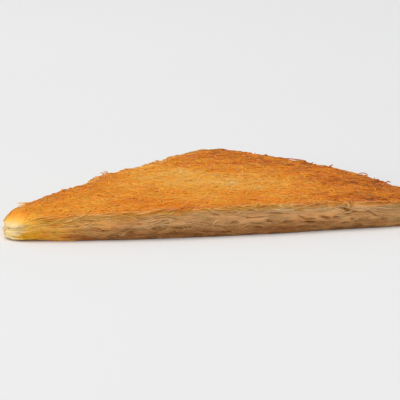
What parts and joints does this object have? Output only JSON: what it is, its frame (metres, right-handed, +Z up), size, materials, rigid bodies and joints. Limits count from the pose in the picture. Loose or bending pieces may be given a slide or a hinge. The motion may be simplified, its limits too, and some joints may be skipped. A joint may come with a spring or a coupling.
{
  "type": "slice of kunafa",
  "caption": "Wedge of kunafa cut from a round tray: browned shredded pastry over and under a cheese filling.",
  "frame": {"origin": "middle of the slice's bounding box in plan, at the level of the surface that it stands on", "axes": "+X along the front cut from the point of the slice to the tray's rim, +Z up, +Y towards the back cut"},
  "size_m": [0.1806, 0.148, 0.0137],
  "materials": {
    "browned_pastry": "orange brown shredded pastry with a thin gloss of syrup",
    "cheese": "soft cream cheese with strings, satin",
    "syrupy_pastry": "pale brown shredded pastry, darker towards its underside"
  },
  "bodies": {
    "root": {"upper_pastry": "browned_pastry", "cheese_filling": "cheese", "lower_pastry": "syrupy_pastry"}
  },
  "joints": []
}
